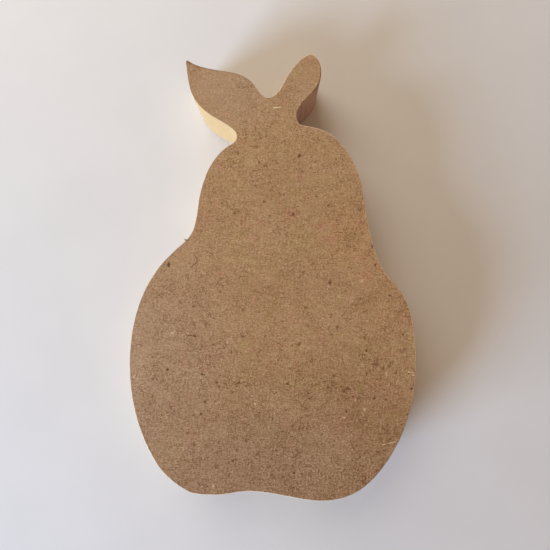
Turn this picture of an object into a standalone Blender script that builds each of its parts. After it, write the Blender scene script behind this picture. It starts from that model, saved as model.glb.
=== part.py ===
"""Pear-shaped board, a flat fibreboard cut-out of a pear with its stem and one leaf.

Metres, +Z up. The board lies on its back face, and the origin is on that face, under the middle of
the outline. +Y runs from the foot of the pear to its stem, and +X to the right, seen from above.
"""

import math

import bpy

MM = 0.001

# Driving sizes
BOARD_HEIGHT = 150.0 * MM  # foot to stem tip, along Y
BOARD_WIDTH = 96.2 * MM  # across the belly, along X
BOARD_THICKNESS = 18.0 * MM
SANDED_EDGE = 0.4 * MM  # round of the two cut rims

# How finely the outline and its rims are faceted
STEPS_PER_CURVE = 8
RIM_STEPS = 2
FLAT_WITHIN = math.radians(0.05)  # faces this nearly in line are one flat face
RIM_ANGLE = math.radians(40)  # only the rims turn more sharply than this

# Fibreboard, as sRGB channels from 0 to 255
FACE_COLOUR = (163, 127, 93)
FACE_ROUGHNESS = 0.85

SIDE = BOARD_WIDTH / 2 / MM  # half the width in millimetres
END = BOARD_HEIGHT / 2 / MM  # half the height in millimetres

# The outline runs clockwise, seen from above, from the tip of the stem. Each knot is its x and y in
# millimetres, the heading of the curve in degrees from +X, and how far the curve's handles reach
# before and after it in millimetres.
STEM_BACK_EDGE = [
    (12.5, END, 0, 2.6, 2.0),  # tip of the stem
    (16.2, 68.8, -90, 3.4, 4.0),  # widest point of the tip
    (11.8, 60.4, -136, 3.5, 2.2),  # where the stem narrows
    (8.0, 54.0, -90, 2.6, 1.9),  # foot of the stem
]
BODY_RIGHT_EDGE = [
    (10.5, 51.0, -5, 1.6, 3.4),  # start of the shoulder
    (21.2, 46.8, -45, 3.8, 7.8),  # shoulder
    (30.5, 28.4, -79, 7.4, 4.0),  # neck
    (32.3, 17.2, -80, 4.0, 8.0),  # waist
    (39.3, -0.2, -45, 4.5, 10.0),  # top of the belly
    (SIDE, -29.4, -90, 14.0, 12.0),  # widest point of the belly
    (38.5, -61.6, -125, 9.5, 10.5),  # turn to the foot
]
FOOT_EDGE = [
    (15.8, -END, 180, 11.0, 8.0),  # lowest point, on the right lobe
    (-7.7, -71.8, 180, 8.0, 4.0),  # hollow between the lobes
    (-19.5, -73.1, 180, 4.0, 3.0),  # left lobe
    (-28.5, -71.9, 155, 2.5, 3.0),  # corner of the left lobe
]
BODY_LEFT_EDGE = [
    (-36.8, -65.4, 132, 3.0, 10.0),  # turn to the belly
    (-SIDE, -29.4, 90, 14.0, 11.0),  # widest point of the belly
    (-43.0, -4.2, 66, 7.0, 7.2),  # top of the belly
    (-31.0, 10.8, 41, 5.4, 4.6),  # waist
    (-25.2, 23.5, 83, 8.4, 6.4),  # neck
    (-15.8, 43.6, 37, 8.0, 2.6),  # shoulder
]
LEAF_EDGE = [
    (-12.2, 47.6, 90, 2.2, 2.6),  # crook between shoulder and leaf
    (-21.2, 54.8, 147, 4.5, 4.5),  # underside
    (-28.4, 66.0, 98, 5.5, 2.5),  # belly of the leaf
    (-29.2, 72.3, 97, 1.5, 0.5),  # tip, lower corner
    (-28.3, 72.7, -38, 0.5, 2.5),  # tip, upper corner
    (-16.0, 69.25, -8, 7.0, 3.0),  # top edge
    (-7.7, 66.1, -40, 3.0, 3.4),  # end of the top edge
]
STEM_FRONT_EDGE = [
    (-1.6, 60.5, 0, 2.6, 2.6),  # hollow between leaf and stem
    (4.7, 67.5, 62, 4.8, 2.6),  # rising side of the stem
]
OUTLINE = (
    STEM_BACK_EDGE + BODY_RIGHT_EDGE + FOOT_EDGE + BODY_LEFT_EDGE + LEAF_EDGE + STEM_FRONT_EDGE
)


def clear_scene():
    for item in list(bpy.data.objects):
        bpy.data.objects.remove(item, do_unlink=True)


def linear(channel):
    """A colour channel from 0 to 255 as the linear value that a shader takes."""
    share = channel / 255
    if share <= 0.04045:
        return share / 12.92
    return ((share + 0.055) / 1.055) ** 2.4


def fibreboard_material():
    material = bpy.data.materials.new("fibreboard")
    material.use_nodes = True
    shader = material.node_tree.nodes["Principled BSDF"]
    shader.inputs["Base Color"].default_value = (*map(linear, FACE_COLOUR), 1)
    shader.inputs["Roughness"].default_value = FACE_ROUGHNESS
    shader.inputs["Metallic"].default_value = 0
    return material


def set_knot(point, knot):
    """Places one point of a Bezier spline, with its two handles in line with the heading."""
    x, y, heading, reach_before, reach_after = knot
    along_x = math.cos(math.radians(heading))
    along_y = math.sin(math.radians(heading))
    point.handle_left_type = "ALIGNED"
    point.handle_right_type = "ALIGNED"
    point.co = (x * MM, y * MM, 0)
    point.handle_left = ((x - reach_before * along_x) * MM, (y - reach_before * along_y) * MM, 0)
    point.handle_right = ((x + reach_after * along_x) * MM, (y + reach_after * along_y) * MM, 0)


def outline_curve(name):
    """The flat outline, filled and thickened to the board by half its thickness each way."""
    curve = bpy.data.curves.new(name, "CURVE")
    curve.dimensions = "2D"
    curve.fill_mode = "BOTH"
    curve.extrude = BOARD_THICKNESS / 2
    curve.resolution_u = STEPS_PER_CURVE
    curve.render_resolution_u = 0
    spline = curve.splines.new("BEZIER")
    spline.bezier_points.add(len(OUTLINE) - 1)
    spline.use_cyclic_u = True
    for point, knot in zip(spline.bezier_points, OUTLINE):
        set_knot(point, knot)
    return curve


def add_sanded_rims(board):
    """Joins the caps to the cut edge, makes each cap one flat face, and rounds both rims."""
    weld = board.modifiers.new("join caps", "WELD")
    weld.merge_threshold = 0.01 * MM
    flat = board.modifiers.new("flat faces", "DECIMATE")
    flat.decimate_type = "DISSOLVE"
    flat.angle_limit = FLAT_WITHIN
    rims = board.modifiers.new("sanded rims", "BEVEL")
    rims.limit_method = "ANGLE"
    rims.angle_limit = RIM_ANGLE
    rims.width = SANDED_EDGE
    rims.segments = RIM_STEPS


def build_board(collection):
    board = bpy.data.objects.new("pear_board", outline_curve("pear outline"))
    board.location.z = BOARD_THICKNESS / 2
    board.data.materials.append(fibreboard_material())
    collection.objects.link(board)
    add_sanded_rims(board)
    return board


clear_scene()
parts = bpy.data.collections.new("pear-shaped board")
bpy.context.scene.collection.children.link(parts)
build_board(parts)
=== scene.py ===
# %% [markdown]
# A pear-shaped board, step by step.
#
# The real object is a blank for painting: a flat pear with its stem and one leaf, cut with a fine
# saw out of one sheet of 18 mm medium density fibreboard. It lies on its back and is seen from
# straight above. Nothing on it moves and nothing is joined to it, so the whole lesson is about three
# things: an outline that is right, a cut edge that looks sawn, and a face that looks like pressed
# wood fibre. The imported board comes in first, because every piece made here has to fit it.

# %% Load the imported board
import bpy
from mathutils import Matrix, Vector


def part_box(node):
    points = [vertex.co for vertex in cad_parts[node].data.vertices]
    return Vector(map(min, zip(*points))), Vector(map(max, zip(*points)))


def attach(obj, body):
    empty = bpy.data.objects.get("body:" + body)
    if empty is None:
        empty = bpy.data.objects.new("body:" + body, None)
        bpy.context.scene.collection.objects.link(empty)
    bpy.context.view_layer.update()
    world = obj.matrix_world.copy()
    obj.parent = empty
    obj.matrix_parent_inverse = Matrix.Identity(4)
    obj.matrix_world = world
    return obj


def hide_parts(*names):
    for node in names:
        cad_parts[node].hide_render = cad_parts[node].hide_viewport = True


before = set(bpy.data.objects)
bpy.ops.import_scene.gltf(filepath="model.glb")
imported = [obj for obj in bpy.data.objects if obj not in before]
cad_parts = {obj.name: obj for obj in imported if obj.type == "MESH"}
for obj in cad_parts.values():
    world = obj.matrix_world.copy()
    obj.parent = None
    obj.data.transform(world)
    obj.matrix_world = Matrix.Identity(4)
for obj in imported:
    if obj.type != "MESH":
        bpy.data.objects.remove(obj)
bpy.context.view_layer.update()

# %% Tools and units
import math

import bpy
import numpy as np
from mathutils import Vector, geometry, noise

MM = 0.001
scene = bpy.context.scene
lowest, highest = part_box("pear_board")
THICK = highest.z - lowest.z
SIDE = (highest.x - lowest.x) / 2 / MM
END = (highest.y - lowest.y) / 2 / MM
print(f"board {2 * SIDE:.1f} x {2 * END:.1f} x {THICK / MM:.1f} mm")


def put_in_scene(name, data):
    """An object round a camera, a lamp or a mesh."""
    made = bpy.data.objects.new(name, data)
    scene.collection.objects.link(made)
    return made


def mesh_object(name, points, faces):
    """An object with a mesh of its own, from points in metres and the corners of each face."""
    mesh = bpy.data.meshes.new(name)
    mesh.from_pydata([tuple(point) for point in points], [], [tuple(corners) for corners in faces])
    mesh.validate()
    return put_in_scene(name, mesh)


# %% [markdown]
# The camera comes early, because it decides what has to look right. The picture was taken with the
# lens pointing straight down from close by. That closeness is why the sawn edge shows around the
# leaf, which is far from the middle of the picture, and hides around the belly. A lens that looks
# straight down at a known height needs no aiming by eye: its focal length follows from the width of
# the picture, the size of the board in it, and the height.

# %% Camera straight above the board
PICTURE = 550  # pixels across
PIXEL = 0.3363 * MM  # one pixel where the board is widest, just under the worn rim
MIDDLE_COLUMN = 272.9  # column over x = 0
MIDDLE_ROW = 277.5  # row over y = 0
SENSOR = 36.0  # width of the sensor in millimetres, as Blender counts it
HEIGHT_OVER_FACE = 117.4 * MM
UNDER_RIM = 0.35 * MM  # how far below the face the board is widest
FACE_PIXEL = PIXEL * HEIGHT_OVER_FACE / (HEIGHT_OVER_FACE + UNDER_RIM)  # one pixel on the face
NEAREST_SEEN = 0.01  # metres
FARTHEST_SEEN = 20

camera_data = bpy.data.cameras.new("overhead")
camera_data.sensor_width = SENSOR
camera_data.lens = SENSOR * HEIGHT_OVER_FACE / (PICTURE * FACE_PIXEL)
camera_data.clip_start = NEAREST_SEEN
camera_data.clip_end = FARTHEST_SEEN
camera_data.dof.use_dof = False
camera = put_in_scene("overhead", camera_data)
camera.location = (
    (PICTURE / 2 - MIDDLE_COLUMN) * PIXEL,
    (MIDDLE_ROW - PICTURE / 2) * PIXEL,
    THICK + HEIGHT_OVER_FACE,
)
scene.camera = camera
print(f"lens {camera_data.lens:.2f} mm, {camera.location.z / MM:.1f} mm over the floor")


def place(column, row):
    """A pixel of the picture as x and y on the top face, in metres."""
    x = camera.location.x + (column - PICTURE / 2) * FACE_PIXEL
    y = camera.location.y + (PICTURE / 2 - row) * FACE_PIXEL
    return x, y


# %% [markdown]
# The outline is one closed curve. A maker draws it once on the sheet and follows it with the saw, so
# it is drawn once here too: knots joined by Bezier curves, where each knot says which way the line
# heads and how far it holds that heading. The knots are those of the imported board. What changes is
# how finely the curve is walked: a step of a third of a millimetre is about one pixel, so no
# straight facet is ever seen along the rim.

# %% Outline knots
# x and y in millimetres, heading in degrees from +X, reach before and after in millimetres
STEM_BACK_EDGE = [
    (12.5, END, 0, 2.6, 2.0),
    (16.2, 68.8, -90, 3.4, 4.0),
    (11.8, 60.4, -136, 3.5, 2.2),
    (8.0, 54.0, -90, 2.6, 1.9),
]
BODY_RIGHT_EDGE = [
    (10.5, 51.0, -5, 1.6, 3.4),
    (21.2, 46.8, -45, 3.8, 7.8),
    (30.5, 28.4, -79, 7.4, 4.0),
    (32.3, 17.2, -80, 4.0, 8.0),
    (39.3, -0.2, -45, 4.5, 10.0),
    (SIDE, -29.4, -90, 14.0, 12.0),
    (38.5, -61.6, -125, 9.5, 10.5),
]
FOOT_EDGE = [
    (15.8, -END, 180, 11.0, 8.0),
    (-7.7, -71.8, 180, 8.0, 4.0),
    (-19.5, -73.1, 180, 4.0, 3.0),
    (-28.5, -71.9, 155, 2.5, 3.0),
]
BODY_LEFT_EDGE = [
    (-36.8, -65.4, 132, 3.0, 10.0),
    (-SIDE, -29.4, 90, 14.0, 11.0),
    (-43.0, -4.2, 66, 7.0, 7.2),
    (-31.0, 10.8, 41, 5.4, 4.6),
    (-25.2, 23.5, 83, 8.4, 6.4),
    (-15.8, 43.6, 37, 8.0, 2.6),
]
LEAF_EDGE = [
    (-12.2, 47.6, 90, 2.2, 2.6),
    (-21.2, 54.8, 147, 4.5, 4.5),
    (-28.4, 66.0, 98, 5.5, 2.5),
    (-29.2, 72.3, 97, 1.5, 0.5),
    (-28.3, 72.7, -38, 0.5, 2.5),
    (-16.0, 69.25, -8, 7.0, 3.0),
    (-7.7, 66.1, -40, 3.0, 3.4),
]
STEM_FRONT_EDGE = [
    (-1.6, 60.5, 0, 2.6, 2.6),
    (4.7, 67.5, 62, 4.8, 2.6),
]
OUTLINE = (
    STEM_BACK_EDGE + BODY_RIGHT_EDGE + FOOT_EDGE + BODY_LEFT_EDGE + LEAF_EDGE + STEM_FRONT_EDGE
)
print(len(OUTLINE), "knots")

# %% Walk the outline in even steps
OUTLINE_STEP = 0.33 * MM
FINE_PARTS = 200  # pieces that each curve is cut into before the even steps are measured out


def toward(degrees):
    """A step of length one in a heading."""
    return np.array([math.cos(math.radians(degrees)), math.sin(math.radians(degrees))])


def curve_between(knot, following):
    """Points in metres along the Bezier curve from one knot up to, but not at, the next."""
    x, y, heading, _, reach = knot
    start = np.array([x, y])
    leave = start + reach * toward(heading)
    x, y, heading, reach, _ = following
    end = np.array([x, y])
    arrive = end - reach * toward(heading)
    t = np.linspace(0, 1, FINE_PARTS, endpoint=False)[:, None]
    points = (
        (1 - t) ** 3 * start
        + 3 * (1 - t) ** 2 * t * leave
        + 3 * (1 - t) * t**2 * arrive
        + t**3 * end
    )
    return points * MM


fine = np.vstack([curve_between(*pair) for pair in zip(OUTLINE, OUTLINE[1:] + OUTLINE[:1])])
fine = np.vstack([fine, fine[:1]])
run = np.concatenate([[0], np.cumsum(np.linalg.norm(np.diff(fine, axis=0), axis=1))])
COLUMNS = round(run[-1] / OUTLINE_STEP)
even = np.linspace(0, run[-1], COLUMNS, endpoint=False)
outline = np.column_stack([np.interp(even, run, fine[:, axis]) for axis in (0, 1)])
print(f"outline {run[-1] / MM:.0f} mm long, {COLUMNS} columns")

# %% Which way is out, and how tightly the outline turns
LEAST_TURN = 1e-6  # radians, so that a straight stretch doesn't divide by nothing

before = np.roll(outline, 1, axis=0)
after = np.roll(outline, -1, axis=0)
along = (after - before) / np.linalg.norm(after - before, axis=1)[:, None]
outward = np.column_stack([-along[:, 1], along[:, 0]])  # the outline runs clockwise
heading = np.arctan2(along[:, 1], along[:, 0])
turn = np.angle(np.exp(1j * (np.roll(heading, -1) - np.roll(heading, 1)))) / 2
bend_radius = (run[-1] / COLUMNS) / np.maximum(np.abs(turn), LEAST_TURN)
print(f"tightest bend {bend_radius.min() / MM:.2f} mm, at the tip of the leaf")

# %% [markdown]
# The rim is where the sawn edge meets the face. A saw leaves it sharp and a few strokes of sandpaper
# take the sharpness off, never quite evenly. A Bevel modifier would give the same round everywhere.
# Here the round is worked out column by column, so it can be wider where the paper leaned, and
# broken where a flake of the skin came away with the saw.

# %% How far each column of the rim is worn
WORN = 0.30 * MM  # radius of the worn rim, on average
WORN_LEAST = 0.12 * MM
WEAR_LENGTH = 9.0 * MM  # the hand's pressure changes over about this length
WEAR_CHANGE = 0.45  # and changes the radius by this share
CRUMB_LENGTH = 0.9 * MM  # small crumbs along the rim
CRUMB_CHANGE = 0.35
BROKEN_CHANGE = 0.8  # how uneven the bottom of a broken place is
WITHIN_BEND = 0.55  # the round stays within this share of a tight bend, or it would fold over itself
TOP_WEAR = 3.7  # seeds of the noise on the two rims
BACK_WEAR = 11.2

# Broken places on the top rim: column and row in the picture, length along the rim, depth
TOP_RIM_CHIPS = {
    "flake off the right of the belly": (416.5, 373, 2.2 * MM, 0.55 * MM),
    "nick at the left of the belly": (132.0, 376, 1.6 * MM, 0.40 * MM),
    "crumbs under the stem tip": (318.5, 86, 2.0 * MM, 0.20 * MM),
    "nick at the right of the neck": (372.5, 247, 1.1 * MM, 0.32 * MM),
    "nick at the right shoulder": (388.5, 277, 1.0 * MM, 0.30 * MM),
    "nick low on the right": (408.5, 415, 1.2 * MM, 0.30 * MM),
    "nick at the left waist": (184.5, 240, 1.4 * MM, 0.30 * MM),
}


def ripple(points, length, seed):
    """Smooth noise between about -1 and 1 at each point, changing over the given length."""
    return np.array([noise.noise(Vector((x / length, y / length, seed))) for x, y in points])


def rim_round(seed, chips):
    """The radius of the worn rim at each column, in metres."""
    radius = WORN * (1 + WEAR_CHANGE * ripple(outline, WEAR_LENGTH, seed))
    radius = radius * (1 + CRUMB_CHANGE * ripple(outline, CRUMB_LENGTH, seed + 5))
    for column, row, length, depth in chips.values():
        away = np.linalg.norm(outline - np.array(place(column, row)), axis=1)
        share = np.clip(1 - away / (length / 2), 0, 1)
        uneven = 1 + BROKEN_CHANGE * ripple(outline, CRUMB_LENGTH / 2, seed + 9)
        radius = radius + depth * share * uneven
    return np.clip(radius, WORN_LEAST, WITHIN_BEND * np.maximum(bend_radius, 2 * WORN_LEAST))


top_round = rim_round(TOP_WEAR, TOP_RIM_CHIPS)
back_round = rim_round(BACK_WEAR, {})
print(f"top rim worn {top_round.min() / MM:.2f} to {top_round.max() / MM:.2f} mm")

# %% [markdown]
# The edge is sawn, and the saw leaves its mark from top to bottom: fine upright lines where each
# tooth passed, and slower waves where the hand pushed or turned the sheet. Noise that is stretched
# along the thickness gives both. The lines are real geometry, a few hundredths of a millimetre deep,
# so that a low light catches them from any side.

# %% Saw lines on the edge
SAW_LINE = (0.55 * MM, 0.030 * MM)  # pitch and depth of the fine lines
SAW_STEP = (2.1 * MM, 0.035 * MM)  # pitch and depth of the coarser ones
SAW_WAVE = (8.0 * MM, 0.050 * MM)  # slow wander of the cut
UPRIGHT = 14.0  # how many times longer a line is than it is wide


def saw_marks(height):
    """How far each column stands out or in at one height, in metres."""
    total = np.zeros(COLUMNS)
    for pitch, depth in (SAW_LINE, SAW_STEP, SAW_WAVE):
        level = height / (pitch * UPRIGHT)
        drift = [noise.noise(Vector((x / pitch, y / pitch, level))) for x, y in outline]
        total = total + depth * np.array(drift)
    return total


# %% Rings of points from the top face down to the back
ROUND_STEPS = 5  # facets across each worn rim
WALL_ROWS = 14  # rows of faces from one rim to the other


def ring(inset, height):
    """One closed ring: every column moved in by its inset, at its own height."""
    marks = saw_marks(float(np.mean(height)))
    flat = outline + outward * (marks - inset)[:, None]
    return np.column_stack([flat, height])


rings = []
for step in range(ROUND_STEPS + 1):
    angle = math.radians(90) * step / ROUND_STEPS
    rings.append(ring(top_round * (1 - math.sin(angle)), THICK - top_round * (1 - math.cos(angle))))
for row in range(1, WALL_ROWS):
    share = row / WALL_ROWS
    height = (THICK - top_round) * (1 - share) + back_round * share
    rings.append(ring(np.zeros(COLUMNS), height))
for step in range(ROUND_STEPS, -1, -1):
    angle = math.radians(90) * step / ROUND_STEPS
    rings.append(ring(back_round * (1 - math.sin(angle)), back_round * (1 - math.cos(angle))))
print(len(rings), "rings of", COLUMNS, "points")

# %% [markdown]
# The two faces are flat and sanded. One many-sided face would do for a render, but it would be cut
# into long thin triangles on export. Filling the ring with an even scatter of points and joining
# them by Delaunay triangulation gives well-shaped triangles that still end exactly on the rim.

# %% Fill a face with even triangles
FACE_GRID = 1.3 * MM  # spacing of the points
RIM_GAP = 0.7 * MM  # they stay this far from the rim
SAME_POINT = 1e-5  # millimetres, under which the triangulation takes two points for one


def inside(points, border):
    """Which points lie inside the closed border, by counting crossings."""
    x, y = points[:, 0], points[:, 1]
    found = np.zeros(len(points), bool)
    for (x1, y1), (x2, y2) in zip(border, np.roll(border, -1, axis=0)):
        spans = (y1 > y) != (y2 > y)
        if spans.any():
            cross = x1 + (y[spans] - y1) * (x2 - x1) / (y2 - y1)
            found[spans] ^= x[spans] < cross
    return found


def grid_inside(border):
    """Points of a triangular grid that stay clear of the border."""
    low, high = border.min(axis=0), border.max(axis=0)
    rows = np.arange(low[1], high[1], FACE_GRID * math.sqrt(3) / 2)
    points = []
    for number, y in enumerate(rows):
        xs = np.arange(low[0] + (number % 2) * FACE_GRID / 2, high[0], FACE_GRID)
        points.append(np.column_stack([xs, np.full(len(xs), y)]))
    points = np.vstack(points)
    points = points[inside(points, border)]
    nearest = np.full(len(points), np.inf)
    for rim_point in border[::2]:
        nearest = np.minimum(nearest, np.linalg.norm(points - rim_point, axis=1))
    return points[nearest > RIM_GAP]


def fill(border):
    """The grid points inside a border, and triangles over border points first, then grid points."""
    loose = grid_inside(border)
    flat = np.vstack([border, loose]) / MM
    count = len(border)
    around = [(number, (number + 1) % count) for number in range(count)]
    corners = [Vector(point) for point in flat]
    made = geometry.delaunay_2d_cdt(corners, around, [], 0, SAME_POINT, True)
    source = [ids[0] for ids in made[3]]
    triangles = np.array([[source[corner] for corner in face] for face in made[2]])
    middles = flat[triangles].mean(axis=1)
    return loose, triangles[inside(middles, border / MM)].tolist()


top_loose, top_triangles = fill(rings[0][:, :2])
back_loose, back_triangles = fill(rings[-1][:, :2])
print(len(top_triangles), "triangles on the top face,", len(back_triangles), "on the back")

# %% Join rings and faces into one closed board
def facing(points, triangle):
    """Twice the signed area of a triangle seen from above: positive if it faces up."""
    a, b, c = (points[corner] for corner in triangle)
    return (b[0] - a[0]) * (c[1] - a[1]) - (b[1] - a[1]) * (c[0] - a[0])


ring_points = np.vstack(rings)
top_points = np.column_stack([top_loose, np.full(len(top_loose), THICK)])
back_points = np.column_stack([back_loose, np.zeros(len(back_loose))])
points = np.vstack([ring_points, top_points, back_points])
top_start = len(ring_points)
back_start = top_start + len(top_points)
back_ring = (len(rings) - 1) * COLUMNS

faces = []
for level in range(len(rings) - 1):
    for column in range(COLUMNS):
        beside = (column + 1) % COLUMNS
        faces.append(
            (
                level * COLUMNS + column,
                level * COLUMNS + beside,
                (level + 1) * COLUMNS + beside,
                (level + 1) * COLUMNS + column,
            )
        )
edge_faces = len(faces)
# A filled face counts its own ring first and its loose points after it, so both are moved to where
# they stand in the whole board. Its triangles are turned to face outward.
for triangles, ring_start, loose_start, upward in (
    (top_triangles, 0, top_start, 1),
    (back_triangles, back_ring, back_start, -1),
):
    for triangle in triangles:
        moved = [
            ring_start + corner if corner < COLUMNS else loose_start + corner - COLUMNS
            for corner in triangle
        ]
        faces.append(moved if facing(points, moved) * upward > 0 else moved[::-1])

pear = mesh_object("fibreboard_pear", points, faces)
board_mesh = pear.data
for polygon in board_mesh.polygons:
    polygon.use_smooth = polygon.index < edge_faces
print(len(board_mesh.polygons), "faces on the board")

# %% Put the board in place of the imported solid
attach(pear, "root")
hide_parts("pear_board")
print(pear.name, "stands in for the packed board")

# %% [markdown]
# Colours are read from the picture as numbers from 0 to 255, and a shader wants linear light. This
# small helper turns one into the other. The other helpers only shorten what the node editor does
# with a mouse: add a node, set its values, and link it.

# %% Helpers for colours and nodes
FIBRE_TILT = (0.3, 0.2)  # radians out of the plane of the sheet
FIBRE_WHOLE = 0.25  # distance from a cell's middle where the fibre starts to fade
FIBRE_GONE = 0.55  # and where it is gone


def linear(*channels):
    """Channels from 0 to 255 as the linear colour that a shader takes."""
    shares = [channel / 255 for channel in channels]
    bright = [s / 12.92 if s <= 0.04045 else ((s + 0.055) / 1.055) ** 2.4 for s in shares]
    return (*bright, 1)


class Finish:
    """A material under construction, with its nodes added one by one."""

    def __init__(self, name):
        self.material = bpy.data.materials.new(name)
        self.material.use_nodes = True
        self.tree = self.material.node_tree
        self.shader = self.tree.nodes["Principled BSDF"]
        coordinates = self.tree.nodes.new("ShaderNodeTexCoord")
        self.position = coordinates.outputs["Object"]

    def node(self, kind, settings=None, **values):
        """Adds a node. A value may be a number, a vector, or another node's output."""
        made = self.tree.nodes.new("ShaderNode" + kind)
        for name, value in (settings or {}).items():
            setattr(made, name, value)
        for name, value in values.items():
            self.feed(made.inputs[name.replace("_", " ")], value)
        return made

    def feed(self, socket, value):
        if isinstance(value, bpy.types.NodeSocket):
            self.tree.links.new(value, socket)
        else:
            socket.default_value = value

    def sum(self, kind, *values, vector=False):
        """A Math node on up to three numbers or outputs, or a Vector Math node on vectors."""
        made = self.tree.nodes.new("ShaderNodeVectorMath" if vector else "ShaderNodeMath")
        made.operation = kind
        for socket, value in zip(made.inputs, values):
            self.feed(socket, value)
        return made.outputs[0]

    def ease(self, value, low, high, out_low=0.0, out_high=1.0, kind="SMOOTHSTEP"):
        """A smooth step: out_low at low, out_high at high, and clamped beyond them."""
        made = self.node(
            "MapRange", {"interpolation_type": kind}, Value=value, From_Min=low, From_Max=high,
            To_Min=out_low, To_Max=out_high,
        )
        return made.outputs[0]

    def laid(self, location, rotation, scale, where=None):
        """The surface moved, turned and measured in the given scale, for a pattern to lie on."""
        made = self.node(
            "Mapping", {"vector_type": "TEXTURE"}, Vector=where or self.position,
            Location=location, Rotation=rotation, Scale=scale,
        )
        return made.outputs[0]

    def grain(self, size, stretch=(1, 1, 1), turn=0.0, detail=0.0, rough=0.5, shift=0.0, warp=0.0):
        """Noise centred on zero. Its blotches are about one size across, times the stretch. Another
        shift gives another noise."""
        scale = [size * share for share in stretch]
        lay = self.laid((shift, -shift, shift / 2), (0, 0, math.radians(turn)), scale)
        cloud = self.node(
            "TexNoise", Vector=lay, Scale=1.0, Detail=detail, Roughness=rough, Distortion=warp
        )
        return self.sum("SUBTRACT", cloud.outputs[0], 0.5)

    def fibres(self, length, width, turn, shift):
        """Long flecks laid one way: a mask of where they are, and a random number for each."""
        rotation = (*FIBRE_TILT, math.radians(turn))
        lay = self.laid((shift * MM, -shift * MM, 0), rotation, (length, width, width))
        cells = self.node("TexVoronoi", {"voronoi_dimensions": "2D"}, Vector=lay, Scale=1.0)
        pick = self.node("SeparateColor", Color=cells.outputs["Color"])
        return self.ease(cells.outputs["Distance"], FIBRE_GONE, FIBRE_WHOLE), pick.outputs[0]

    def ramp(self, value, stops):
        """A Color Ramp from (share, colour) stops."""
        made = self.node("ValToRGB", Fac=value)
        band = made.color_ramp
        while len(band.elements) < len(stops):
            band.elements.new(0.5)
        for element, (share, colour) in zip(band.elements, stops):
            element.position = share
            element.color = colour
        return made.outputs[0]

    def blend(self, share, first, second, kind="MIX"):
        """A colour mix: the first colour where share is 0, the second where it is 1."""
        made = self.node("Mix", {"data_type": "RGBA", "blend_type": kind})
        self.feed(made.inputs[0], share)
        self.feed(made.inputs[6], first)
        self.feed(made.inputs[7], second)
        return made.outputs[2]

    def coat(self, colour, roughness, height, strength, distance):
        """Gives the shader its colour, its roughness and a relief."""
        relief = self.node("Bump", Strength=strength, Distance=distance, Height=height)
        self.feed(self.shader.inputs["Base Color"], colour)
        self.feed(self.shader.inputs["Roughness"], roughness)
        self.feed(self.shader.inputs["Normal"], relief.outputs[0])


# %% [markdown]
# Fibreboard is wood ground to fibre, mixed with glue and pressed flat. Close up, the face is a felt:
# pale and dark fibres a fraction of a millimetre wide, lying every way in the plane of the sheet,
# with no grain direction. A single noise looks like sponge, because its blotches run into each
# other. Voronoi cells are better fibres: stretched to several times their width, each cell is one
# fibre with an outline and a tone of its own, and layers at different angles lie over each other.

# %% Face finish: the felt of fibres
face = Finish("sanded_face")
GROUND = linear(178, 141, 101)
DARK_FIBRE = linear(114, 73, 35)
BROWN_FIBRE = linear(152, 114, 74)
PALE_FIBRE = linear(216, 182, 140)
# Length and width of the fibres, angle they lie at, how much each layer hides what is under it
FIBRE_LAYERS = [
    (1.1 * MM, 0.36 * MM, 64, 0.50),
    (1.2 * MM, 0.32 * MM, 152, 0.45),
    (0.9 * MM, 0.36 * MM, 108, 0.45),
    (1.2 * MM, 0.32 * MM, 22, 0.45),
    (0.8 * MM, 0.38 * MM, 86, 0.40),
    (1.3 * MM, 0.32 * MM, 174, 0.40),
]
FIBRE_VARIETY = 1.05  # how far the tones of the fibres spread
SPECKLE_SIZE = 0.40 * MM
SPECKLE_CONTRAST = 1.7

speckle = face.grain(SPECKLE_SIZE, detail=2.0, rough=0.6, shift=1.3)
felt = face.sum("MULTIPLY_ADD", speckle, SPECKLE_CONTRAST, 0.5)
for number, (length, width, angle, cover) in enumerate(FIBRE_LAYERS):
    there, pick = face.fibres(length, width, angle, 3.1 + 7 * number)
    own_tone = face.sum("MULTIPLY_ADD", pick, FIBRE_VARIETY, 0.5 - FIBRE_VARIETY / 2)
    change = face.sum("SUBTRACT", own_tone, felt)
    felt = face.sum("MULTIPLY_ADD", face.sum("MULTIPLY", there, cover), change, felt)

# %% Face finish: calm and busy places
# A slow noise scales the contrast about the middle tone.
BUSY_PATCH = 5.0 * MM
LEAST_BUSY = 0.80
MOST_BUSY = 1.20
BUSY_SWING = 0.22  # how far the noise goes from zero
busy = face.grain(BUSY_PATCH, detail=1.0, shift=33.0)
busy = face.ease(busy, -BUSY_SWING, BUSY_SWING, LEAST_BUSY, MOST_BUSY)
# The stem end was sanded smoother than the foot, and its fibres show less.
SMOOTH_END = 0.70
OPEN_END = 0.92
where_on_sheet = face.node("SeparateXYZ", Vector=face.position)
up_the_sheet = where_on_sheet.outputs["Y"]
open_share = face.ease(up_the_sheet, END * MM, -END * MM, SMOOTH_END, OPEN_END, "LINEAR")
busy = face.sum("MULTIPLY", busy, open_share)
felt = face.sum("MULTIPLY_ADD", face.sum("SUBTRACT", felt, 0.5), busy, 0.5)
print("felt of", len(FIBRE_LAYERS), "layers of fibre over a fine speckle")

# %% Face finish: slow clouds under the felt
CLOUDS = [(3.0 * MM, 0.05), (9.0 * MM, 0.15), (24.0 * MM, 0.12)]  # size and weight
mottle = felt
for size, weight in CLOUDS:
    cloud = face.grain(size, detail=1.0, shift=4.4 + size / MM)
    mottle = face.sum("MULTIPLY_ADD", cloud, weight, mottle)

# %% [markdown]
# The glue and the mix of woods vary slowly over the sheet, so some patches lean to red and others to
# a greenish straw. They are barely darker or lighter than the rest: only the hue drifts. Two slow
# noises, each turned into a soft mask, tint the felt before the chips go on. A patch that can be told
# apart in the picture gets a round mask of its own. A Mapping node shrinks and turns the surface
# round the middle of the patch, and a spherical Gradient falls from one there to nothing a little
# past its outline.

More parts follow.
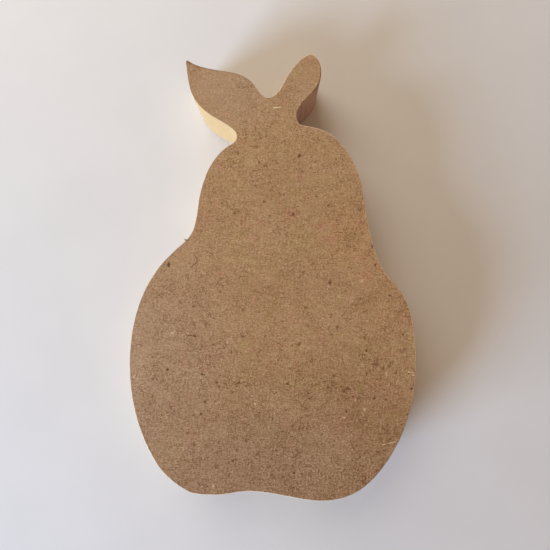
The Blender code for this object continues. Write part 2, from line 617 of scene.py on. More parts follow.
# %% A soft mask round one place
CHIP_DEPTH = 6.0 * MM  # a mark doesn't show through to the back
FADED_AT = 1.25  # a mark has faded out at this many times its own radius


def spot(finish, column, row, length, width, strength, angle=0, crisp=0.6, where=None):
    """A mask of one mark: `strength` out to `crisp` times its radius, then fading to nothing."""
    reach = FADED_AT / 2 * PIXEL
    scale = (length * reach, width * reach, CHIP_DEPTH * FADED_AT)
    lay = finish.laid((*place(column, row), THICK), (0, 0, math.radians(angle)), scale, where)
    near = finish.node("TexGradient", {"gradient_type": "SPHERICAL"}, Vector=lay)
    return finish.ease(near.outputs["Fac"], 0.0, 1 - crisp / FADED_AT, 0.0, strength)


def all_spots(finish, marks, start, crisp=0.6, where=None):
    """The strongest of many marks at each place."""
    total = start
    for mark in marks:
        total = finish.sum("MAXIMUM", total, spot(finish, *mark, crisp=crisp, where=where))
    return total


# %% Face finish: from felt to colour
# Every mark from here on is the column and row of its middle in the picture, its length and width
# in pixels, its strength and, where it lies aslant, its angle in degrees. Several share a line.
# On the leaf and the tip of the stem, fibres and chips show less than elsewhere.
CALM_PLACES = [(216, 90, 76, 52, 0.4, -35), (308, 74, 34, 48, 0.35)]
calm = all_spots(face, CALM_PLACES, 0.0, 0.3)
to_middle = face.sum("SUBTRACT", 0.5, mottle)
mottle = face.sum("MULTIPLY_ADD", to_middle, calm, mottle)
# Painted shade: the face is darker towards the foot and the lower right, where less light falls on it. A
# strength below zero is a painted lighter place.
PAINTED_SHADE_PLACES = [
    (275, 560, 450, 450, 0.21), (372, 412, 110, 190, 0.07), (285, 412, 60, 50, -0.07),
]
for painted_shade_place in PAINTED_SHADE_PLACES:
    mottle = face.sum("SUBTRACT", mottle, spot(face, *painted_shade_place, crisp=0.0))
tone = face.ramp(
    mottle, [(0.0, DARK_FIBRE), (0.25, BROWN_FIBRE), (0.5, GROUND), (1.0, PALE_FIBRE)]
)

# %% Face finish: warm, straw-coloured and rusty patches
REDDISH = linear(183, 134, 103)
STRAW = linear(175, 145, 95)
RUST_SHIFT = (1.02, 0.955, 0.90, 1)  # multiplies the colour, mostly on the right of the sheet
NO_SHIFT = (1, 1, 1, 1)
RED_PLACES = [
    (204, 214, 12, 34, 0.6), (321, 226, 16, 10, 0.8), (293, 212, 18, 12, 0.9),
    (333, 239, 14, 9, 0.7, 20), (359, 224, 12, 10, 0.7), (366, 276, 18, 16, 0.8),
    (373, 470, 13, 10, 1), (327, 285, 8, 6, 0.6), (322, 341, 10, 9, 0.9), (294, 445, 9, 11, 1),
    (290, 425, 22, 11, 0.7), (251, 350, 9, 14, 0.6), (197, 232, 11, 8, 0.8), (226, 113, 11, 7, 1),
    (216, 77, 7, 5, 0.7), (200, 78, 7, 5, 0.6), (194, 66, 6, 6, 0.6), (258, 102, 7, 8, 0.6),
    (308, 60, 12, 9, 0.6), (204, 370, 12, 7, 0.9), (215, 355, 34, 30, 0.4), (172, 402, 15, 13, 0.6),
    (192, 438, 26, 28, 0.5), (203, 461, 12, 20, 0.7), (342, 425, 40, 60, 0.6, 10),
    (360, 437, 15, 13, 0.9), (334, 430, 9, 17, 0.8), (385, 395, 40, 50, 0.5),
    (182, 300, 24, 40, 0.35), (143, 350, 9, 44, 0.6), (184, 358, 10, 32, 0.7),
    (225, 398, 22, 8, 0.6), (243, 418, 8, 12, 0.6), (340, 487, 14, 8, 0.6),
]
STRAW_PLACES = [
    (204, 234, 14, 12, 0.8), (232, 243, 12, 9, 0.5), (245, 285, 13, 11, 0.5),
    (206, 325, 18, 14, 0.7), (221, 333, 8, 10, 0.8), (243, 345, 9, 14, 0.8),
    (152, 360, 18, 26, 0.6), (240, 160, 40, 22, 0.4), (300, 240, 30, 40, 0.4), (210, 75, 6, 5, 0.6),
    (230, 76, 8, 6, 0.6), (213, 89, 18, 14, 0.5), (235, 114, 7, 6, 0.9), (243, 84, 6, 6, 0.6),
    (297, 71, 11, 18, 0.9), (206, 386, 18, 17, 0.6), (267, 432, 45, 26, 0.5),
    (172, 452, 36, 28, 0.7), (342, 441, 8, 12, 0.7), (370, 420, 8, 9, 0.8), (376, 441, 7, 13, 0.7),
    (136, 385, 12, 80, 0.8), (165, 415, 12, 22, 0.6), (240, 478, 24, 20, 0.5),
]
RUST_PLACES = [
    (352, 235, 80, 100, 0.9), (388, 290, 90, 150, 0.6), (285, 320, 180, 120, 0.2),
]
RED_PATCH = 4.5 * MM
STRAW_PATCH = 5.5 * MM
warm = face.ease(face.grain(RED_PATCH, detail=2.0, shift=8.2), 0.04, 0.28, 0.0, 0.65)
warm = all_spots(face, RED_PLACES, warm, 0.0)
straw = face.ease(face.grain(STRAW_PATCH, detail=2.0, shift=9.9), 0.0, 0.28, 0.0, 0.50)
straw = all_spots(face, STRAW_PLACES, straw, 0.0)
felt_hue = face.blend(warm, GROUND, REDDISH)
felt_hue = face.blend(straw, felt_hue, STRAW)
rusty = all_spots(face, RUST_PLACES, 0.0, 0.2)
felt_hue = face.blend(1.0, felt_hue, face.blend(rusty, NO_SHIFT, RUST_SHIFT), "MULTIPLY")
print(len(RED_PLACES) + len(STRAW_PLACES) + len(RUST_PLACES), "placed patches of hue")

# %% Face finish: greyer on the leaf, and a painted sheen towards the left and the foot
# Painted reflection: towards the left and the foot this tint stands in for the grey-blue sheen of the
# low daylight glancing off the face. On the leaf and the stem tip it greys the face's own tone.
SHEEN_AND_GREY = linear(178, 146, 118)
SHEEN_AND_GREY_PLACES = [
    (228, 84, 120, 90, 0.6, -20), (300, 84, 50, 90, 0.3, 25), (145, 375, 200, 300, 0.55),
    (255, 480, 340, 190, 0.6),
]
sheen_and_grey = all_spots(face, SHEEN_AND_GREY_PLACES, 0.0, 0.2)
felt_hue = face.blend(sheen_and_grey, felt_hue, SHEEN_AND_GREY)
# Divided by the ground colour, the hue changes each fibre without hiding it.
hue_only = face.blend(1.0, felt_hue, GROUND, "DIVIDE")
tone = face.blend(1.0, tone, hue_only, "MULTIPLY")

# %% [markdown]
# Bark and burnt fibre end up in the sheet as dark chips. Most are scattered at random, which a
# noise with a high threshold does. The ones that stand out in the picture are placed one by one, as
# the patches were, only smaller and with a crisper outline.

# %% Face finish: scattered chips
# Chips gather in some places and are missing in others, so a slow noise moves the threshold.
GATHERING = 6.0 * MM
GATHER_SHARE = 0.32
CALM_ON_CHIPS = 1.9  # how much more the calm places hide chips than they hide fibres
gather = face.grain(GATHERING, detail=1.0, shift=11.0)


def scattered_bits(size, stretch, turn, shift, least, most, strength):
    """Marks that start where a noise is over `least`, more of them where the bits gather."""
    found = face.grain(size, stretch, turn, detail=1.0, shift=shift, warp=0.4)
    found = face.sum("MULTIPLY_ADD", gather, GATHER_SHARE, found)
    return face.ease(found, least, most, 0.0, strength)


BROAD_BITS = {"size": 0.55 * MM, "stretch": (1.5, 1, 1), "least": 0.205, "most": 0.260, "strength": 0.65}
THIN_BITS = {"size": 0.36 * MM, "stretch": (5.5, 1, 1), "least": 0.18, "most": 0.25, "strength": 0.55}
scattered = scattered_bits(turn=35, shift=12.0, **BROAD_BITS)
bits = scattered
for number, turn in enumerate((8, 66, 128)):
    thin = scattered_bits(turn=turn, shift=15.0 + 3 * number, **THIN_BITS)
    bits = face.sum("MAXIMUM", bits, thin)
bits = face.sum("MULTIPLY", bits, face.sum("MULTIPLY_ADD", calm, -CALM_ON_CHIPS, 1.0))

# %% Face finish: the chips that can be told apart
DARK_CHIPS = [
    # stem and leaf
    (218.6, 85.4, 2.4, 2.4, 0.65), (245, 87.3, 8, 1.8, 0.45), (252, 87.2, 3.8, 1.8, 0.75, 5),
    (189.2, 62.6, 6, 3.6, 0.6, -45),
    # shoulders and neck
    (299.6, 156, 6.4, 3.6, 0.85, 20), (295, 158.6, 6.5, 1.8, 0.55, 35),
    (259.6, 162.4, 4.4, 1.8, 0.65, -15), (265, 165.5, 5.5, 2.4, 0.5, 40),
    (255, 170.6, 7, 1.6, 0.6, 10), (255.6, 146.6, 13, 1.8, 0.45, -6),
    (283.5, 141.5, 5.6, 3.2, 0.4, 15), (270.5, 190, 5, 2, 0.45, 55),
    (341.8, 181.4, 5, 2.2, 0.65, 10), (316.4, 196.6, 3.2, 2.2, 0.65),
    (315.5, 161.5, 4.4, 1.6, 0.55, -30), (274.5, 154, 4.4, 1.8, 0.55, 70),
    (264, 201.5, 3.8, 3.2, 0.95, 30), (328.8, 205.3, 3.2, 2.8, 0.85),
    (360, 209.6, 3.8, 2.4, 0.85, 20), (293.2, 213.9, 3.2, 3.4, 0.95),
    (288.6, 212.5, 4, 1.8, 0.6, 90), (270, 215.6, 3.6, 1.8, 0.65), (284, 194.5, 2.8, 2.8, 0.6),
    (255.5, 185.5, 6, 3, 0.45), (286.8, 236, 3.4, 2, 0.6, 60), (372.4, 246.4, 4.4, 3.2, 0.9, 70),
    (355, 248.5, 3, 1.8, 0.6),
    # belly, left
    (168.7, 264.7, 6.4, 4.2, 0.9, 75), (217, 268, 7, 6, 0.3), (218, 283, 6.4, 2.2, 0.45, 90),
    (220.6, 291.8, 3.4, 3, 0.6), (193.7, 305.8, 3.4, 2.2, 0.75, 20),
    (179.4, 301.8, 3.2, 2.2, 0.75, 60), (194, 323.5, 5, 4, 0.45, 90),
    (205.6, 324.5, 10, 2.6, 0.5, 100), (190.8, 335.4, 12.5, 1.8, 0.8, -5),
    (194.8, 336, 4, 2.6, 0.8), (242.5, 336.4, 3.2, 2.8, 0.9, 90), (219.8, 341.6, 3.4, 2.2, 0.6),
    (231.5, 352.2, 3.4, 3, 0.75, 90), (236.5, 352.4, 2.4, 2.2, 0.5), (233.8, 361, 5, 2, 0.55, 80),
    (167.6, 369.6, 4.2, 2.8, 1, 85), (144, 366, 4, 3, 0.45), (203, 374.3, 4.6, 2.4, 1, -15),
    (243.2, 371.5, 5, 2, 0.6, -60), (217, 382.4, 3.8, 2.6, 1), (219.4, 387, 4.4, 2.2, 0.65, 90),
    (232.8, 392, 3.2, 2, 0.7), (181, 392.2, 3.4, 2, 0.8), (152.8, 396, 12, 1.8, 0.5, 85),
    (150, 404, 3, 2.6, 0.6), (145, 410, 3, 2.4, 0.55), (166, 389.5, 7, 1.8, 0.45),
    # belly, middle
    (330.2, 282.4, 6.4, 3.8, 0.85, 62), (305.8, 307.6, 3.6, 3.2, 0.95),
    (337.2, 327.4, 4.6, 2.8, 0.6, 90), (282.4, 321.6, 2.6, 2.6, 0.6),
    (298.8, 344.4, 8.4, 3.2, 0.6, 50), (291.6, 346.2, 3.2, 2.4, 0.45),
    (259, 361.2, 5, 3.6, 0.4, 30), (276.4, 364.2, 4, 2.8, 0.5, 70),
    (311.6, 360.8, 4, 3.2, 0.95, 30), (287.4, 383.8, 2.8, 2.6, 0.7), (327.6, 387.4, 3, 2.4, 0.7),
    (308.2, 393.4, 5, 2.4, 0.75, 85), (309.6, 398.2, 7.4, 2.4, 0.75, 20),
    (304.8, 395.6, 3.6, 2.2, 0.6), (303, 404.4, 5.4, 2.2, 0.5, 60), (305.4, 407.6, 3.4, 2.4, 0.6),
    (327, 393.5, 6, 2.2, 0.6), (333.4, 375.8, 3.4, 2.8, 0.75),
    # belly, right
    (375.5, 265, 4, 2.6, 0.9, 70), (389.8, 295.6, 4.6, 2.2, 0.9, -30),
    (364.5, 311.5, 4, 1.8, 0.6, 10), (402.7, 334.4, 3.4, 1.8, 0.75), (364.8, 337.6, 3.4, 2.4, 0.6),
    (366.5, 351, 4.8, 2.8, 0.9, -10), (374.8, 364, 7.6, 2.2, 0.8, 5),
    (383.4, 367.8, 4.4, 3.2, 0.75, 90), (366.6, 374, 4.2, 2, 0.85, 85),
    (396.2, 373, 3.2, 2.8, 0.95), (347.5, 388.8, 6, 4.2, 0.75, 35),
    (344, 391.5, 4.8, 3.6, 0.75, 70), (374.4, 398, 3.6, 2.8, 0.9, 15),
    (385.4, 399.6, 5, 2.2, 0.8, -15), (411.6, 388.6, 4, 2.6, 0.85, 90),
    # foot
    (346.3, 411, 4, 2.8, 0.75, 90), (407, 414.5, 2.8, 2.2, 0.75, 50),
    (272.6, 418.4, 2.8, 2.6, 0.75), (286, 410.5, 6, 2, 0.6, 20), (291.8, 425.8, 3.4, 2.8, 0.7),
    (299.8, 428, 6.4, 3, 0.6, 90), (348.6, 426.6, 2.8, 2.4, 0.7, 10),
    (246, 441, 3.6, 2.4, 0.65, 90), (377.4, 452.2, 3.8, 2.8, 0.8, 20),
    (373.7, 456, 3.2, 2.2, 0.7, 60), (294, 472.5, 4, 2.6, 0.95), (271.6, 474.8, 3.6, 2, 0.65),
    (292.5, 466, 6, 3, 0.5, 90), (269, 467, 6, 5, 0.45), (363.4, 483, 4, 3, 0.7, 40),
    (205, 401.8, 3, 2.8, 0.85, 60), (201, 414, 3.2, 3, 0.9, 15),
    (170.8, 408.4, 6.4, 2.2, 0.65, -50), (218.5, 415.5, 2.4, 2.2, 0.75),
    (188, 433, 3.6, 2.8, 0.85, 30), (194, 433.4, 3, 2.6, 0.45), (193.5, 444.6, 6, 4.4, 0.45),
    (237.5, 438.5, 2.6, 2.4, 0.65), (237, 450, 5, 4, 0.55), (207, 458, 3.6, 3.2, 0.6),
    (233.5, 460.5, 4, 2.6, 0.75, 90), (216.6, 467, 6, 5, 0.45),
]
# Thin dark fibres: the places that each runs through, its width and its strength
DARK_FIBRES = {
    "hooked fibre left of the waist": (
        [(194.6, 254.8), (196.8, 258.0), (197.2, 261.2), (195.0, 264.4), (190.4, 267.2)], 1.7, 0.65,
    ),
    "left leg of the inverted V": ([(155.0, 376.2), (151.2, 381.6)], 1.5, 0.70),
    "right leg of the inverted V": ([(155.0, 376.2), (158.7, 381.1)], 1.5, 0.70),
    "slant left of the belly": ([(136.5, 386.5), (143.6, 391.5)], 1.6, 0.55),
    "bowed fibre at the foot": (
        [(350.6, 440.6), (352.2, 446.6), (355.6, 451.0), (360.0, 455.4)], 1.5, 0.55,
    ),
    "upright fibre at the foot": ([(387.8, 424.0), (386.6, 441.0)], 1.3, 0.50),
}

# %% Face finish: put the chips on
# A fine noise pushes the surface about before the chips are drawn, so none is a clean oval.
CHIP_COLOUR = linear(100, 54, 24)
CHIP_CRISP = 0.28
RAGGED_SIZE = 0.5 * MM
RAGGED_REACH = 1.1 * MM

ragged = face.node("TexNoise", Vector=face.position, Scale=1 / RAGGED_SIZE, Detail=1.0)
push = face.sum("SUBTRACT", ragged.outputs["Color"], (0.5,) * 3, vector=True)
ragged_place = face.sum("MULTIPLY_ADD", push, (RAGGED_REACH,) * 3, face.position, vector=True)


def stroke(route, width, strength):
    """Marks end to end along a route of places."""
    marks = []
    for (x1, y1), (x2, y2) in zip(route, route[1:]):
        length = math.dist((x1, y1), (x2, y2)) + width
        angle = math.degrees(math.atan2(y1 - y2, x2 - x1))
        marks.append(((x1 + x2) / 2, (y1 + y2) / 2, length, width, strength, angle))
    return marks


strokes = []
for route, width, strength in DARK_FIBRES.values():
    strokes += stroke(route, width, strength)
chips = all_spots(face, DARK_CHIPS, bits, CHIP_CRISP, ragged_place)
chips = all_spots(face, strokes, chips, CHIP_CRISP)
tone = face.blend(chips, tone, CHIP_COLOUR)
print(len(DARK_CHIPS), "placed chips and", len(DARK_FIBRES), "fibres")

# %% Face finish: pale specks
PALE_SPECKS = [
    (266.5, 105, 4.4, 2.2, 0.4), (258, 115.5, 4.4, 1.8, 0.4, -60), (316.5, 84.5, 3, 2.2, 0.9),
    (312, 82, 2.4, 2, 0.6), (284, 187.7, 3, 2.8, 0.6), (284.2, 191.8, 3, 2.8, 0.6),
    (231.5, 195.8, 4, 2.2, 0.6, 90), (273.4, 200.5, 2.4, 2.4, 0.6), (361.8, 281, 4, 3.6, 0.95),
    (328.8, 286.9, 2.6, 2.6, 0.7), (339, 296.5, 4.4, 4.4, 0.4), (172.5, 333.2, 9, 2.6, 0.8, 38),
    (188, 333.2, 4, 1.8, 0.7), (227.6, 341.8, 4.4, 2, 0.85, 90), (386.7, 374.3, 5, 1.8, 0.95, 90),
    (355.3, 400, 4.4, 1.8, 0.55, 90), (254.8, 404.2, 3.6, 2.4, 0.9, 90),
    (364.5, 409.6, 5.6, 1.9, 0.9, 100), (274.4, 413.6, 3, 1.8, 0.8, 90),
    (343.6, 417.8, 4, 2.6, 0.7), (213.3, 486.2, 5.4, 2.4, 0.85, 90),
]
SPECK_COLOUR = linear(214, 184, 146)
SPECK_SIZE = 0.5 * MM
bright = face.grain(SPECK_SIZE, (1.8, 1, 1), 70, shift=21.0)
bright = face.ease(bright, 0.20, 0.27, 0.0, 0.5)
specks = all_spots(face, PALE_SPECKS, bright, CHIP_CRISP, ragged_place)
tone = face.blend(specks, tone, SPECK_COLOUR)
print(len(PALE_SPECKS), "placed pale specks")

# %% Face finish: relief and shine
# Sanding leaves a soft tooth: fibres stand a hundredth of a millimetre proud and chips sit lower.
FACE_RELIEF = 0.05 * MM
CHIPS_SUNK = -0.8  # as a share of the height of the felt
lifted = face.sum("MULTIPLY_ADD", scattered, CHIPS_SUNK, felt)
FACE_MATT = (0.78, 0.92)  # roughness, from the lowest fibres to the highest
face.coat(tone, face.ease(felt, 0.0, 1.0, *FACE_MATT), lifted, 0.35, FACE_RELIEF)
face.shader.inputs["Specular IOR Level"].default_value = 0.25

# %% [markdown]
# The sawn edge shows the inside of the sheet. The press makes the two skins dense and brown and
# leaves the core paler and looser, and the saw opens clean fibre that has not darkened in daylight.
# So the edge is cream, a little browner near the faces, with upright streaks from the saw teeth and a
# fine stipple of cut fibre ends. Height above the floor, read from the object's own coordinates,
# tells the shader how deep in the sheet a point is. A picture wrapped round the edge would stretch at
# the tight bends, while noise that lives in the object's own space fits any outline.

# %% Edge finish: from skin to core
edge = Finish("sawn_edge")
CORE = linear(195, 162, 115)
SKIN = linear(184, 149, 105)
SKIN_WHOLE = 0.2 * MM  # down to here the edge is all skin
SKIN_DEPTH = 1.2 * MM  # and from here on it is all core

split = edge.node("SeparateXYZ", Vector=edge.position)
height = split.outputs["Z"]
under_top = edge.sum("SUBTRACT", THICK, height)
depth = edge.sum("MINIMUM", height, under_top)
core_share = edge.ease(depth, SKIN_WHOLE, SKIN_DEPTH)
edge_tone = edge.blend(core_share, SKIN, CORE)

# %% Edge finish: saw streaks and fibre ends
streaks = edge.grain(0.6 * MM, (1, 1, 18), detail=2.0, rough=0.6, shift=3.0)
bands = edge.grain(3.5 * MM, (1, 1, 10), detail=1.0, shift=5.0)
stipple = edge.grain(0.35 * MM, (1, 1, 0.7), detail=1.0, shift=7.0)
layers = edge.grain(1.3 * MM, (7, 7, 0.8), detail=1.0, shift=9.0)
cut = streaks
for marks, weight in ((bands, 0.4), (stipple, 1.2), (layers, 0.25)):
    cut = edge.sum("MULTIPLY_ADD", marks, weight, cut)

# %% Edge finish: the tight turn behind the stem
# The saw turned tightly there, so its marks are deeper. The cut there is also painted greyer and cooler,
# as painted light for the cool grey light on this shaded wall. The mask takes every point as if it lay
# on the face, so that it covers the wall from top to bottom.
STEM_BACK = (308, 106, 44, 62, 1.0)
STEM_BACK_COOL_SHADE = linear(200, 166, 133)
MOST_COOL_SHADE = 0.8
DEEP_MARKS = 2.4
SHADE_LINE = linear(144, 104, 76)  # where the cut goes in
MOST_SHADE = 0.8
CLEAN_CUT = linear(216, 186, 144)  # where it stands out
MOST_CLEAN = 0.6
flat_place = edge.sum("MULTIPLY_ADD", edge.position, (1, 1, 0), (0, 0, THICK), vector=True)
stem_back = spot(edge, *STEM_BACK, crisp=0.7, where=flat_place)
# Painted light: a cooler, greyer tint on the shaded wall behind the stem.
cool_shade_share = edge.sum("MULTIPLY", stem_back, MOST_COOL_SHADE)
edge_tone = edge.blend(cool_shade_share, edge_tone, STEM_BACK_COOL_SHADE)
cut = edge.sum("MULTIPLY_ADD", edge.sum("MULTIPLY", stem_back, streaks), DEEP_MARKS, cut)
dark_cut = edge.ease(cut, 0.0, -1.0, 0.0, MOST_SHADE)
edge_tone = edge.blend(dark_cut, edge_tone, SHADE_LINE)
pale_cut = edge.ease(cut, 0.0, 1.0, 0.0, MOST_CLEAN)
edge_tone = edge.blend(pale_cut, edge_tone, CLEAN_CUT)

# %% Edge finish: the worn rim, with a painted highlight and painted shade
# Sanding broke the brown skin and bared a thin pale line along the rim. Its tone is pale enough to be a
# painted highlight too, standing in for the low daylight that strikes the rim.
PALE_AND_LIT_RIM_TONE = linear(226, 204, 180)
BROWN_AND_SHADED_RIM_TONE = linear(150, 115, 84)
RIM_WHOLE = 0.05 * MM  # depth down to which the line is at its palest
RIM_GONE = 0.30 * MM
RIM_RAGGED = 0.5 * MM  # how far a noise moves it up and down
# In these places the rim is as brown as the face: partly where the skin held, and partly painted shade
# where the rim turns away from the daylight.
BROWN_AND_SHADED_RIM = [
    (222, 72, 84, 16, 1, -14), (320, 74, 12, 44, 1), (308, 100, 44, 18, 1, 55),
    (292, 72, 50, 12, 0.35, 60), (385, 452, 130, 50, 0.9, 53), (175, 482, 60, 16, 0.4, -42),
    (212, 116, 84, 26, 1, -40), (190, 80, 60, 16, 1, -83), (132, 350, 40, 190, 0.9),
    (176, 250, 60, 30, 0.9, 42), (200, 205, 20, 80, 0.9), (215, 160, 50, 20, 0.9, 55),
]
brown_and_shaded_rim = all_spots(edge, BROWN_AND_SHADED_RIM, 0.0, 0.6)
# Painted shade: the rim is browned where it turns away from the daylight, along the top of the leaf,
# behind the stem and low on the right.
rim_tone = edge.blend(brown_and_shaded_rim, PALE_AND_LIT_RIM_TONE, BROWN_AND_SHADED_RIM_TONE)
rim_noise = edge.grain(0.8 * MM, detail=2.0, shift=13.0)
rim_depth = edge.sum("MULTIPLY_ADD", rim_noise, RIM_RAGGED, depth)
rim_share = edge.ease(rim_depth, RIM_GONE, RIM_WHOLE)
edge_tone = edge.blend(rim_share, edge_tone, rim_tone)

# %% Edge finish: relief and shine
EDGE_RELIEF = 0.08 * MM
EDGE_MATT = (0.88, 0.96)
edge.coat(edge_tone, edge.ease(cut, -1.0, 1.0, *EDGE_MATT), cut, 0.6, EDGE_RELIEF)
edge.shader.inputs["Specular IOR Level"].default_value = 0.2

board_mesh.materials.append(face.material)
board_mesh.materials.append(edge.material)
for polygon in board_mesh.polygons:
    polygon.material_index = 1 if polygon.index < edge_faces else 0
print("two finishes on the board:", [material.name for material in board_mesh.materials])

# %% [markdown]
# A few fibres have come loose: pale slivers pressed on to the face, and a tuft of fuzz where the saw
# left the left waist. Each is a short bent rod that tapers to both ends, so it is closed and catches
# the light as a solid thing does. Hair would be quicker to grow, but it is no mesh and would not
# travel with the part.

# %% A bent sliver of fibre
ROD_SIDES = 6
ROD_RINGS = 7
TAPER = 0.6  # the smaller, the blunter its ends
FLATTENED = 0.7  # height of its section over the width


def sliver(start, end, bow, width, lift_start, lift_end):
    """Points and faces of one tapered rod. Bow is how far its middle swings sideways."""
    first, last = Vector((*start, lift_start)), Vector((*end, lift_end))
    direction = (last - first).normalized()
    aside = direction.cross(Vector((0, 0, 1))).normalized()
    up = aside.cross(direction)
    points, faces = [], []
    for number in range(ROD_RINGS):
        share = (number + 1) / (ROD_RINGS + 1)
        centre = first.lerp(last, share) + aside * bow * math.sin(math.pi * share)
        radius = width / 2 * math.sin(math.pi * share) ** TAPER
        for side in range(ROD_SIDES):
            angle = math.tau * side / ROD_SIDES
            section = aside * math.cos(angle) + up * math.sin(angle) * FLATTENED
            points.append(centre + section * radius)
    points += [first, last]
    for number in range(ROD_RINGS - 1):
        for side in range(ROD_SIDES):
            beside = (side + 1) % ROD_SIDES
            a, b = number * ROD_SIDES, (number + 1) * ROD_SIDES
            faces.append((a + side, b + side, b + beside, a + beside))
    tip, tail = ROD_RINGS * ROD_SIDES, (ROD_RINGS - 1) * ROD_SIDES
    for side in range(ROD_SIDES):
        beside = (side + 1) % ROD_SIDES
        faces.append((tip, side, beside))
        faces.append((tip + 1, tail + beside, tail + side))
    return points, faces


# %% Lay the slivers and the tuft
# Start and end in the picture, bow and width in pixels
SLIVERS = [
    ((272.8, 107.6), (283.8, 106.5), 0.3, 1.9),
    ((387.8, 443.4), (397.8, 440.6), 0.3, 1.3),
    ((381.6, 445.0), (386.8, 443.6), 0.2, 1.2),
    ((407.6, 371.6), (415.8, 372.6), 0.2, 1.4),
    ((411.2, 374.6), (415.8, 375.0), 0.1, 1.2),
    ((132.4, 378.4), (137.0, 373.6), 0.2, 1.5),
]
TUFT = [
    ((188.4, 241.2), (183.6, 238.9), 0.4, 0.9),
    ((187.6, 240.2), (184.2, 240.0), -0.4, 0.7),
]
SUNK = 0.03 * MM  # each starts this far in the face and ends this far over it

all_points, all_faces = [], []
for start, end, bow, width in SLIVERS + TUFT:
    made_points, made_faces = sliver(
        place(*start), place(*end), bow * PIXEL, width * PIXEL, THICK - SUNK, THICK + SUNK
    )
    all_faces += [[corner + len(all_points) for corner in corners] for corners in made_faces]
    all_points += made_points
fibres = mesh_object("loose_fibres", all_points, all_faces)
fibre_mesh = fibres.data
for polygon in fibre_mesh.polygons:
    polygon.use_smooth = True
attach(fibres, "root")
print(len(SLIVERS) + len(TUFT), "loose fibres")

# %% Finish of the loose fibres
LOOSE_GRAIN = 0.3 * MM
LOOSE_RELIEF = 0.03 * MM


def loose_finish(name, shift, dark, pale, least_matt, most_matt):
    """A finely mottled finish between two tones."""
    loose = Finish(name)
    mottling = loose.grain(LOOSE_GRAIN, detail=2.0, shift=shift)
    hue = loose.blend(loose.ease(mottling, -0.25, 0.25), dark, pale)
    matt = loose.ease(mottling, -0.3, 0.3, least_matt, most_matt)
    loose.coat(hue, matt, mottling, 0.4, LOOSE_RELIEF)
    return loose.material


# The slivers are clean wood fibre. The tuft at the left waist is bark, so it is darker.
CLEAN_WOOD = [linear(198, 160, 116), linear(226, 194, 150)]
BARK = [linear(120, 94, 74), linear(150, 122, 98)]
fibre_mesh.materials.append(loose_finish("loose_fibre", 2.0, *CLEAN_WOOD, 0.60, 0.80))
fibre_mesh.materials.append(loose_finish("bark_fibre", 6.0, *BARK, 0.70, 0.85))
pale_faces = len(SLIVERS) * len(made_faces)
for polygon in fibre_mesh.polygons:
    polygon.material_index = 1 if polygon.index >= pale_faces else 0
print("two finishes on the loose fibres:", [material.name for material in fibre_mesh.materials])

# %% [markdown]
# The board lies on a plain pale floor. The light is soft and low, from the lower left of the picture,
# so the shadow falls to the upper right, and what reaches the shadow is warm light from the room. A
# large round lamp gives the soft shadow. A second one, nearer and warmer, stands behind the leaf, and
# a weak one on the shaded side answers both. Lamps were chosen over a sky, because each one's height
# and size can be tuned to one thing seen: how far the shadow reaches and how soft it is.

# %% Floor
FLOOR_SIZE = 6.0
half = FLOOR_SIZE / 2
floor_corners = [(x * half, y * half, 0) for x, y in ((-1, -1), (1, -1), (1, 1), (-1, 1))]
floor = mesh_object("floor", floor_corners, [(0, 1, 2, 3)])
print(f"floor {FLOOR_SIZE:.0f} m across")

# %% Floor finish
FLOOR_CLOUD = 30 * MM
FLOOR_DARK = linear(229, 227, 226)
FLOOR_PALE = linear(233, 231, 230)
ground = Finish("pale_floor")
floor_share = ground.ease(ground.grain(FLOOR_CLOUD, detail=3.0), -0.3, 0.3)
ground_tone = ground.blend(floor_share, FLOOR_DARK, FLOOR_PALE)
ground.feed(ground.shader.inputs["Base Color"], ground_tone)
ground.shader.inputs["Roughness"].default_value = 0.9
ground.shader.inputs["Specular IOR Level"].default_value = 0.1
floor.data.materials.append(ground.material)

# %% Fade the far floor into the backdrop
# Then no horizon shows from the side.
BACKDROP = (0.80, 0.78, 0.76, 1)
FADE_FROM = 0.20  # metres from the middle of the board
FADE_TO = 0.75
far_off = ground.node("VectorMath", {"operation": "LENGTH"})
ground.feed(far_off.inputs[0], ground.position)
haze = ground.node("Emission", Color=BACKDROP, Strength=1.0)
fade = ground.node("MixShader", Fac=ground.ease(far_off.outputs["Value"], FADE_FROM, FADE_TO))
ground.tree.links.new(ground.shader.outputs[0], fade.inputs[1])
ground.tree.links.new(haze.outputs[0], fade.inputs[2])
output = ground.tree.nodes["Material Output"]
ground.tree.links.new(fade.outputs[0], output.inputs["Surface"])

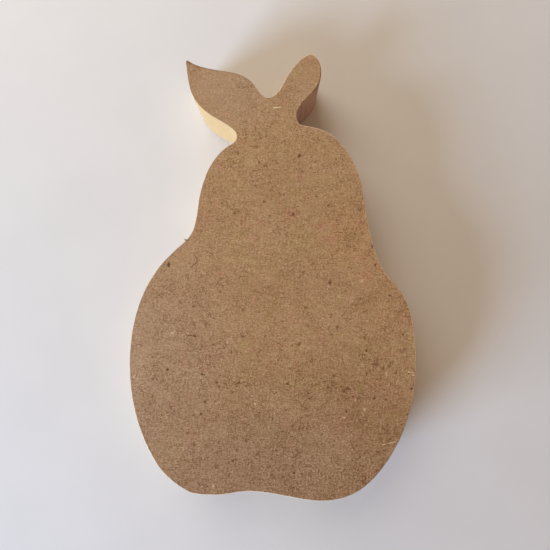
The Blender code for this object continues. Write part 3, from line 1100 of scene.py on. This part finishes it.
# %% A lamp that faces the board
def lamp(name, compass, rise, away, radius, power, colour):
    """A round soft lamp. Compass is in degrees from +X, rise in degrees over the floor."""
    light = bpy.data.lights.new(name, "AREA")
    light.shape = "DISK"
    light.size = 2 * radius
    light.energy = power
    light.color = colour
    made = put_in_scene(name, light)
    side, up = math.radians(compass), math.radians(rise)
    level = math.cos(up)
    made.location = away * Vector((level * math.cos(side), level * math.sin(side), math.sin(up)))
    made.rotation_mode = "QUATERNION"
    made.rotation_quaternion = (-made.location).to_track_quat("-Z", "Y")


# %% Low daylight, the fill behind the leaf, and a weak cool answer to both
# The answer stands almost on the floor and keeps the shaded edge from going orange.
DAYLIGHT = (0.550, 0.737, 1.0)
SOFT_WHITE = (1.0, 0.964, 0.849)
COOL_WHITE = (0.175, 0.303, 1.0)
# Compass and rise in degrees, distance and radius in metres, power in watts, colour
LAMPS = {
    "daylight": (217, 13, 1.0, 0.25, 21.1, DAYLIGHT),
    "fill": (120, 35, 0.5, 0.22, 1.305, SOFT_WHITE),
    "answer": (-30, 4, 0.8, 0.05, 0.52, COOL_WHITE),
}
for name, settings in LAMPS.items():
    lamp(name, *settings)
print("lamps:", list(LAMPS))

# %% Warm light from the room
ROOM_COLOUR = (0.306, 0.204, 0.120, 1)
ROOM_STRENGTH = 1.0

room = bpy.data.worlds.new("room")
scene.world = room
room.use_nodes = True
nodes, links = room.node_tree.nodes, room.node_tree.links
nodes.clear()
fill_light = nodes.new("ShaderNodeBackground")
fill_light.inputs["Color"].default_value = ROOM_COLOUR
fill_light.inputs["Strength"].default_value = ROOM_STRENGTH
seen = nodes.new("ShaderNodeBackground")
seen.inputs["Color"].default_value = BACKDROP
rays = nodes.new("ShaderNodeLightPath")
choose = nodes.new("ShaderNodeMixShader")
world_output = nodes.new("ShaderNodeOutputWorld")
links.new(rays.outputs["Is Camera Ray"], choose.inputs[0])
links.new(fill_light.outputs[0], choose.inputs[1])
links.new(seen.outputs[0], choose.inputs[2])
links.new(choose.outputs[0], world_output.inputs[0])

# %% [markdown]
# The picture's colours were matched as plain display values, so the view has to show them without a
# film curve on top.

# %% View the colours as they are
scene.view_settings.view_transform = "Standard"
scene.view_settings.look = "None"
